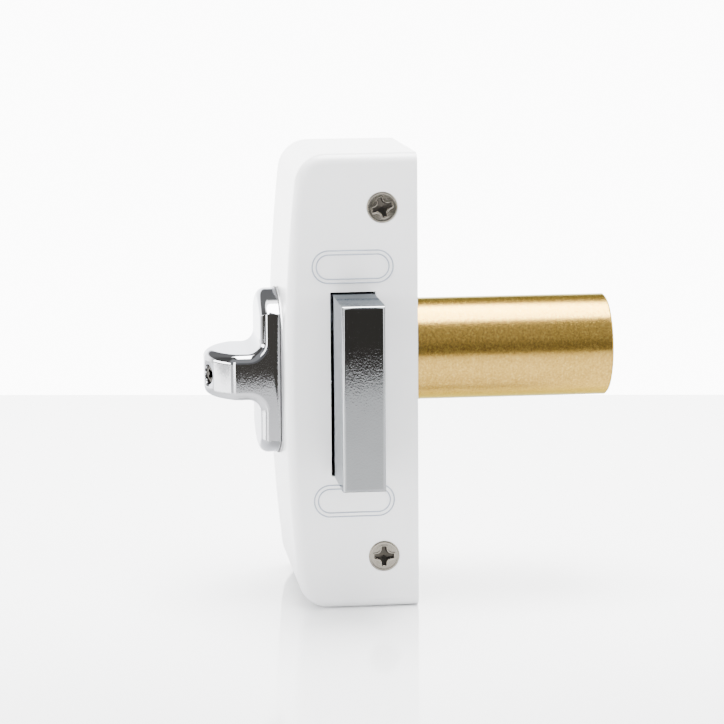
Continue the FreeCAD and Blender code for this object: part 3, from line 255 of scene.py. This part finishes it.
def turned_nickel():
    """Nickel on the screws: rings from turning round the end screws, and painted shade that darkens
    the colour below the end face.
    """
    material, tree = new_finish("turned_nickel")
    point = tree.point()
    x, y, z = tree.split(point)
    across = y - cover_screw_y
    along = abs(z) - cover_screw_z
    radius = (across * across + along * along).math("SQRT")
    rings = (radius * (2 * math.pi / RING_PITCH)).math("SINE")
    grain = tree.noise(point, 1800.0)
    # Painted shade: the colour darkens with depth below the end face, in the cross recesses and
    # over any nickel part set deeper
    painted_shade = (end_face_x - x).rise(*PAINTED_SHADE_DEPTHS) * 0.88
    colour = tree.mix(grain, (0.145, 0.132, 0.109), (0.24, 0.221, 0.188))
    colour = tree.mix(painted_shade, colour, (0.016, 0.014, 0.012))
    tree.surface(Base_Color=colour, Metallic=1.0, Roughness=0.15 + 0.10 * grain,
                 Normal=tree.bump(rings, 5.0 * MICRON))
    return material


def zinc_plate():
    """Zinc on the steel pieces: a faint spangle over a grain that runs across the lock."""
    material, tree = new_finish("zinc_plated_steel")
    point = tree.point()
    spangle = tree.add("ShaderNodeTexVoronoi", {}, Vector=point, Scale=500.0)
    grain = tree.noise(tree.stretch(point, 200.0, 200.0, 2600.0), 1.0)
    colour = tree.mix(spangle, (0.27, 0.28, 0.305), (0.38, 0.39, 0.405))
    tree.surface(Base_Color=colour, Metallic=1.0, Roughness=0.32 + 0.12 * grain,
                 Normal=tree.bump(grain, 6.0 * MICRON))
    return material


finishes = {
    "white_coat": powder_coat(),
    "chrome": polished_chrome("polished_chrome", (0.265, 0.267, 0.275), (0.305, 0.307, 0.315),
                              (0.60, 0.61, 0.64, 1.0), 4.5 * MICRON, CASTING_DRAFT),
    "nickel": turned_nickel(),
    "zinc_steel": zinc_plate(),
    "spring_steel": grained("oiled_spring_steel", 1200.0, (0.12, 0.12, 0.13), (0.22, 0.22, 0.23),
                            roughness=(0.3, 0.15), depth=5.0 * MICRON, metallic=1.0),
    "brass": satin_brass(),
    "bronze": grained("bearing_bronze", 2200.0, (0.42, 0.26, 0.11), (0.56, 0.37, 0.17),
                      roughness=(0.38, 0.12), depth=10.0 * MICRON, metallic=1.0),
    "black_nylon": grained("black_nylon", 900.0, (0.012, 0.012, 0.013), (0.03, 0.03, 0.032),
                           roughness=(0.45, 0.1), depth=10.0 * MICRON),
}
bolt_chrome = polished_chrome("bolt_chrome", (0.155, 0.16, 0.164), (0.185, 0.19, 0.193),
                              (0.52, 0.55, 0.58, 1.0), 10.0 * MICRON)
satin_chrome = grained("satin_chrome", (2600.0, 200.0, 200.0), (0.56, 0.57, 0.59),
                       (0.68, 0.69, 0.70), roughness=(0.34, 0.10), depth=6.0 * MICRON, metallic=1.0)


def finish_frame():
    """Give every node of the frame the finish of its material slot."""
    for node, cad in frame["nodes"].items():
        finish = finishes[slot_of[node]]
        if not cad.material_slots:
            cad.data.materials.append(finish)
        for slot in cad.material_slots:
            slot.material = finish


# Smooth surfaces over the frame's facets

MERGE_DISTANCE = 0.002 * MM
FLAT_ANGLE = math.radians(0.2)
SURFACE_CREASE = math.radians(24)
LARGE_FACE_WEIGHT = 100


def link_object(name, data):
    """A new object, put in the scene."""
    thing = bpy.data.objects.new(name, data)
    bpy.context.collection.objects.link(thing)
    return thing


def smooth_object(name, shell, finish, crease):
    """An object from a bmesh, shaded smoothly up to its creases."""
    mesh = bpy.data.meshes.new(name)
    shell.to_mesh(mesh)
    shell.free()
    mesh.materials.clear()
    mesh.materials.append(finish)
    mesh.polygons.foreach_set("use_smooth", [True] * len(mesh.polygons))
    mesh.set_sharp_from_angle(angle=crease)
    return link_object(name, mesh)


def smooth_surface(node, finish=None):
    """A merged copy of a node whose rounds shade smoothly up to its real edges."""
    shell = bmesh.new()
    shell.from_mesh(frame["nodes"][node].data)
    bmesh.ops.remove_doubles(shell, verts=shell.verts, dist=MERGE_DISTANCE)
    bmesh.ops.dissolve_limit(shell, angle_limit=FLAT_ANGLE, verts=shell.verts, edges=shell.edges)
    finish = finish or finishes[slot_of[node]]
    piece = smooth_object(f"{node}_surface", shell, finish, SURFACE_CREASE)
    even = piece.modifiers.new("even_faces", "WEIGHTED_NORMAL")
    even.keep_sharp = True
    even.weight = LARGE_FACE_WEIGHT
    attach(piece, body_of[node])
    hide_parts(node)


# Cover screws: cross-recessed countersunk heads with a turned rim

SHANK_RADIUS = 2.5 * MM
RIM_RADIUS = 0.86 * cover_screw_radius
RIM_BEVEL = 0.30 * MM
BEVEL_START = RIM_RADIUS + 0.1 * MM
HEAD_SINK = 0.08 * MM
ARM_LENGTH = 2.85 * MM
ARM_WIDTH = 0.80 * MM
ARM_ROOT = 1.15
ARM_TAPER = 0.35
ARM_BLEND = 1.3 * MM
RECESS_DEPTH = 1.7 * MM
RECESS_TAPER = 0.35
RECESS_WALL = 0.24 * MM
LIP_HEIGHT = 0.05 * MM
LIP_WIDTH = 0.32 * MM
HEAD_RINGS = 60
HEAD_SPOKES = 144
HEAD_CREASE = math.radians(50)
UPPER_TURN = math.radians(-17)
LOWER_TURN = 0.0


def smooth_step(value, low, high):
    share = min(max((value - low) / (high - low), 0.0), 1.0)
    return share * share * (3.0 - 2.0 * share)


def outside_arm(along, across):
    """Distance to a bar that tapers a little towards its ends, negative inside it."""
    width = ARM_WIDTH * (ARM_ROOT - ARM_TAPER * abs(along) / ARM_LENGTH)
    dx, dy = abs(along) - ARM_LENGTH, abs(across) - width
    return math.hypot(max(dx, 0.0), max(dy, 0.0)) + min(max(dx, dy), 0.0)


def head_height(radius, angle):
    """Face of the screw head: rounded rim, raised lip and a cross recess with filleted corners."""
    along, across = radius * math.cos(angle), radius * math.sin(angle)
    first, second = outside_arm(along, across), outside_arm(across, along)
    blend = max(ARM_BLEND - abs(first - second), 0.0) / ARM_BLEND
    edge = min(first, second) - blend * blend * ARM_BLEND / 4.0
    depth = RECESS_DEPTH * (1.0 - RECESS_TAPER * radius / ARM_LENGTH)
    recess = max(depth, 0.0) * smooth_step(-edge, 0.0, RECESS_WALL)
    lip = LIP_HEIGHT * (1.0 - smooth_step(abs(edge - 0.5 * LIP_WIDTH), 0.0, LIP_WIDTH))
    rim = LIP_HEIGHT * (1.0 - smooth_step(abs(radius - RIM_RADIUS), 0.0, LIP_WIDTH))
    bevel = RIM_BEVEL * smooth_step(radius, BEVEL_START, cover_screw_radius)
    return lip + rim - bevel - recess - HEAD_SINK


def build_screw(shell, middle, turn):
    """Head, cone and shank of one screw that points along X."""
    steps = [2 * math.pi * i / HEAD_SPOKES for i in range(HEAD_SPOKES)]

    def ring(radius, x_of):
        return [shell.verts.new((x_of(angle), middle.y + radius * math.sin(angle + turn),
                                 middle.z + radius * math.cos(angle + turn))) for angle in steps]

    radii = [cover_screw_radius * i / HEAD_RINGS for i in range(1, HEAD_RINGS + 1)]
    rings = [ring(radius, lambda a, r=radius: middle.x + head_height(r, a)) for radius in radii]
    cone = cover_screw_radius - SHANK_RADIUS
    rings.append(ring(SHANK_RADIUS, lambda a: middle.x - cone))
    rings.append(ring(SHANK_RADIUS, lambda a: cover_screw_low.x))
    for inner, outer in zip(rings, rings[1:]):
        for i in range(HEAD_SPOKES):
            j = (i + 1) % HEAD_SPOKES
            shell.faces.new((inner[i], outer[i], outer[j], inner[j]))
    centre = shell.verts.new((middle.x + head_height(0.0, 0.0), middle.y, middle.z))
    for i in range(HEAD_SPOKES):
        shell.faces.new((centre, rings[0][i], rings[0][(i + 1) % HEAD_SPOKES]))
    shell.faces.new(rings[-1])


def add_cover_screws():
    shell = bmesh.new()
    for side, turn in ((1, UPPER_TURN), (-1, LOWER_TURN)):
        build_screw(shell, Vector((end_face_x, cover_screw_y, side * cover_screw_z)), turn)
    bmesh.ops.recalc_face_normals(shell, faces=shell.faces)
    piece = smooth_object("cover_screws_surface", shell, finishes["nickel"], HEAD_CREASE)
    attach(piece, "case")
    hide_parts("cover_screws")


# Raised double outlines of the two fields on the end face

FIELD_LENGTH = 23.0 * MM
FIELD_HEIGHT = 9.2 * MM
FIELD_INSET = 1.15 * MM
FIELD_BEAD = 0.19 * MM
FIELD_Y = -18.5 * MM
FIELD_Z = 33.7 * MM
BEND_SHARE = 0.4995
BEND_STEPS = 14
BEAD_SIDES = 10
ONTO_END_FACE = (math.radians(90), 0, math.radians(90))


def outline_tree():
    """Two rounded outlines, one inside the other, at each of the points that come in."""
    group = bpy.data.node_groups.new("field_outlines", "GeometryNodeTree")
    inputs = {"Places": "Geometry", "Length": "Float", "Height": "Float", "Inset": "Float",
              "Bead": "Float", "Finish": "Material"}
    for name, kind in inputs.items():
        group.interface.new_socket(name, in_out="INPUT", socket_type=f"NodeSocket{kind}")
    group.interface.new_socket("Outlines", in_out="OUTPUT", socket_type="NodeSocketGeometry")
    tree = Tree(group)
    entry = tree.nodes.new("NodeGroupInput")
    given = {name: Wire(tree, entry.outputs[name]) for name in inputs}
    profile = tree.add("GeometryNodeCurvePrimitiveCircle", {}, Resolution=BEAD_SIDES,
                       Radius=given["Bead"])
    both = tree.nodes.new("GeometryNodeJoinGeometry")
    for insets in (0.0, 2.0):
        inset = given["Inset"] * insets
        length = given["Length"] - inset
        height = given["Height"] - inset
        corners = tree.add("GeometryNodeCurvePrimitiveQuadrilateral", {}, Width=length,
                           Height=height)
        line = tree.add("GeometryNodeFilletCurve", {"mode": "POLY"}, Curve=corners,
                        Count=BEND_STEPS, Radius=height * BEND_SHARE)
        bead = tree.add("GeometryNodeCurveToMesh", {}, Curve=line, Profile_Curve=profile)
        tree.links.new(bead.socket, both.inputs[0])
    upright = tree.add("GeometryNodeTransform", {}, Geometry=Wire(tree, both.outputs[0]),
                       Rotation=ONTO_END_FACE)
    spread = tree.add("GeometryNodeInstanceOnPoints", {}, Points=given["Places"], Instance=upright)
    real = tree.add("GeometryNodeRealizeInstances", {}, spread)
    smooth = tree.add("GeometryNodeSetShadeSmooth", {}, Geometry=real)
    coated = tree.add("GeometryNodeSetMaterial", {}, Geometry=smooth, Material=given["Finish"])
    tree.end("NodeGroupOutput", coated)
    return group


def grow(name, places, group, sizes):
    """Run a geometry group on loose points and keep the result as a plain mesh."""
    mesh = bpy.data.meshes.new(f"{name}_places")
    mesh.from_pydata(places, [], [])
    carrier = link_object(f"{name}_places", mesh)
    modifier = carrier.modifiers.new("grow", "NODES")
    modifier.node_group = group
    for socket in group.interface.items_tree:
        if socket.in_out == "INPUT" and socket.name in sizes:
            modifier[socket.identifier] = sizes[socket.name]
    bpy.context.view_layer.update()
    evaluated = carrier.evaluated_get(bpy.context.evaluated_depsgraph_get())
    result = bpy.data.meshes.new_from_object(evaluated)
    bpy.data.objects.remove(carrier)
    return link_object(name, result)


def add_outlines():
    """The raised lines, rubbed to a bluish grey."""
    rubbed = grained("thin_coat_on_lines", 700.0, (0.19, 0.22, 0.27), (0.33, 0.36, 0.41),
                     roughness=(0.3, 0.1), depth=10.0 * MICRON)
    places = [(end_face_x, FIELD_Y, side * FIELD_Z) for side in (-1, 1)]
    piece = grow("end_face_outlines", places, outline_tree(), {
        "Length": FIELD_LENGTH, "Height": FIELD_HEIGHT, "Inset": FIELD_INSET, "Bead": FIELD_BEAD,
        "Finish": rubbed,
    })
    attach(piece, "case")


# The view of the photograph, from its measured camera

PHOTO_SIDE = 724.0
FOCAL_PIXELS = 2700.0
SHIFT_RIGHT = 13.65
SHIFT_DOWN = 22.60
SENSOR = 36.0
AIM = Vector((30.0, -20.0, 0.0)) * MM
DISTANCE = 0.767
TURN = 0.112
TILT = 0.170
ROLL = 0.008


def add_camera():
    level = math.cos(TILT)
    ahead = Vector((-math.cos(TURN) * level, math.sin(TURN) * level, -math.sin(TILT)))
    level_right = Vector((math.sin(TURN), math.cos(TURN), 0.0))
    level_up = level_right.cross(ahead)
    right = level_right * math.cos(ROLL) - level_up * math.sin(ROLL)
    up = level_right * math.sin(ROLL) + level_up * math.cos(ROLL)
    data = bpy.data.cameras.new("photo_camera")
    data.sensor_width = SENSOR
    data.lens = FOCAL_PIXELS / PHOTO_SIDE * SENSOR
    data.shift_x = SHIFT_RIGHT / PHOTO_SIDE
    data.shift_y = SHIFT_DOWN / PHOTO_SIDE
    camera = link_object("photo_camera", data)
    axes = Matrix((right, up, -ahead)).transposed().to_4x4()
    camera.matrix_world = Matrix.Translation(AIM - ahead * DISTANCE) @ axes
    bpy.context.scene.camera = camera


# Studio

TABLE_FRONT = 0.462
TABLE_BACK = -0.323
TABLE_LEFT = -0.60
TABLE_RIGHT = 0.60
EDGE_LEVELLING = 0.044

# Brightness of each part of the room
BACKDROP_LEVEL = 11.5
CEILING_LEVEL = 12.0
GAP_LEVEL = 0.6
SIDE_LEVEL = 1.9
SIDE_HIGH_LEVEL = 0.25
ROOM_LEVEL = 0.40
ROOM_HIGH_LEVEL = 1.0
FLOOR_LEVEL = 0.19
ROOM_TINT = (0.98, 1.0, 1.05)
FLOOR_TINT = (1.0, 0.94, 0.84)

# Where one part gives way to the next, round the room: 1 is the front and -1 the back
BACKDROP_SIDE = (-0.75, -0.25)
ROOM_SIDE = (0.10, 0.60)
FLOOR_SIDE = (-0.10, 0.20)

# and in height: 0 is the horizon and 1 straight up
FLOOR_TOP = (-0.08, -0.02)
SIDE_FALL = (0.03, 0.14)
ROOM_RISE = (0.12, 0.50)
ROOM_TOP = (0.80, 0.92)
GAP_START = (0.22, 0.34)
CEILING_START = (0.82, 0.88)
ZENITH_GUARD = 0.001

# Rectangular lamps: name, place, aim, level width, height and power
LAMPS = (
    ("top_softbox", (-0.015, 0.05, 0.85), (0.0, 0.0, 0.0), 0.66, 0.55, 42.0),
    ("left_softbox", (0.0, -0.95, 0.10), (0.0, 0.0, 0.0), 0.9, 0.20, 13.0),
    ("front_strip", (0.665, -0.50, 0.14), (0.0155, -0.045, 0.14), 0.22, 0.54, 5.0),
    ("right_softbox", (0.60, 0.80, 0.28), (0.0, 0.0, 0.0), 0.6, 0.8, 11.0),
)


def add_table():
    corners = [(TABLE_BACK, TABLE_LEFT), (TABLE_FRONT, TABLE_LEFT), (TABLE_FRONT, TABLE_RIGHT),
               (TABLE_BACK, TABLE_RIGHT)]
    mesh = bpy.data.meshes.new("table_top")
    mesh.from_pydata([(x, y, table_z) for x, y in corners], [], [(0, 1, 2, 3)])
    mesh.materials.append(grained("white_gloss_table", 6.0, (0.80, 0.803, 0.808),
                                  (0.82, 0.822, 0.826), roughness=(0.06, 0.03)))
    table = link_object("table_top", mesh)
    table.rotation_euler.z = -TURN - EDGE_LEVELLING


def light_room():
    """A bright backdrop, pale sides, a dim room in front and a darker floor past the table's edge.

    From the horizon up, the backdrop gives way to a dim gap and this to a pale ceiling.
    """
    world = bpy.data.worlds.new("studio")
    world.use_nodes = True
    bpy.context.scene.world = world
    tree = Tree(world.node_tree)
    x, y, z = tree.split(tree.add("ShaderNodeTexCoord", {}, out="Generated"))
    towards = x * math.cos(TURN) - y * math.sin(TURN)
    facing = towards / ((1.0 - z * z).math("SQRT") + ZENITH_GUARD)
    behind = 1.0 - facing.rise(*BACKDROP_SIDE)
    room = facing.rise(*ROOM_SIDE) * (1.0 - z.rise(*ROOM_TOP))
    below = facing.rise(*FLOOR_SIDE) * (1.0 - z.rise(*FLOOR_TOP))
    back_level = BACKDROP_LEVEL + (GAP_LEVEL - BACKDROP_LEVEL) * z.rise(*GAP_START)
    back_level = back_level + (CEILING_LEVEL - GAP_LEVEL) * z.rise(*CEILING_START)
    side_level = SIDE_LEVEL + (SIDE_HIGH_LEVEL - SIDE_LEVEL) * z.rise(*SIDE_FALL)
    room_level = ROOM_LEVEL + (ROOM_HIGH_LEVEL - ROOM_LEVEL) * z.rise(*ROOM_RISE)
    level = side_level * (1.0 - behind) + back_level * behind
    level = level * (1.0 - room) + room_level * room
    level = level * (1.0 - below) + FLOOR_LEVEL * below
    tint = tree.mix(room, (1.0, 1.0, 1.0), ROOM_TINT)
    tint = tree.mix(below, tint, FLOOR_TINT)
    studio = tree.add("ShaderNodeBackground", {}, tint, level)
    sweep = tree.add("ShaderNodeBackground", {}, (1.0, 1.0, 1.0, 1.0), BACKDROP_LEVEL)
    seen = tree.add("ShaderNodeLightPath", {}, out="Is Camera Ray")
    tree.end("ShaderNodeOutputWorld", tree.add("ShaderNodeMixShader", {}, seen, studio, sweep))


def add_lamps():
    for name, place, aim, width, height, power in LAMPS:
        light = bpy.data.lights.new(name, "AREA")
        light.shape = "RECTANGLE"
        light.size = width
        light.size_y = height
        light.energy = power
        lamp = link_object(name, light)
        lamp.location = place
        lamp.rotation_euler = (Vector(aim) - Vector(place)).to_track_quat("-Z", "Y").to_euler()


finish_frame()
for seen_node in ("case_cover", "glide_washer", "thumb_turn", "cylinder_body", "cylinder_plug"):
    smooth_surface(seen_node)
smooth_surface("rosette", satin_chrome)
smooth_surface("bolt", bolt_chrome)
add_cover_screws()
add_outlines()
add_table()
light_room()
add_lamps()
add_camera()
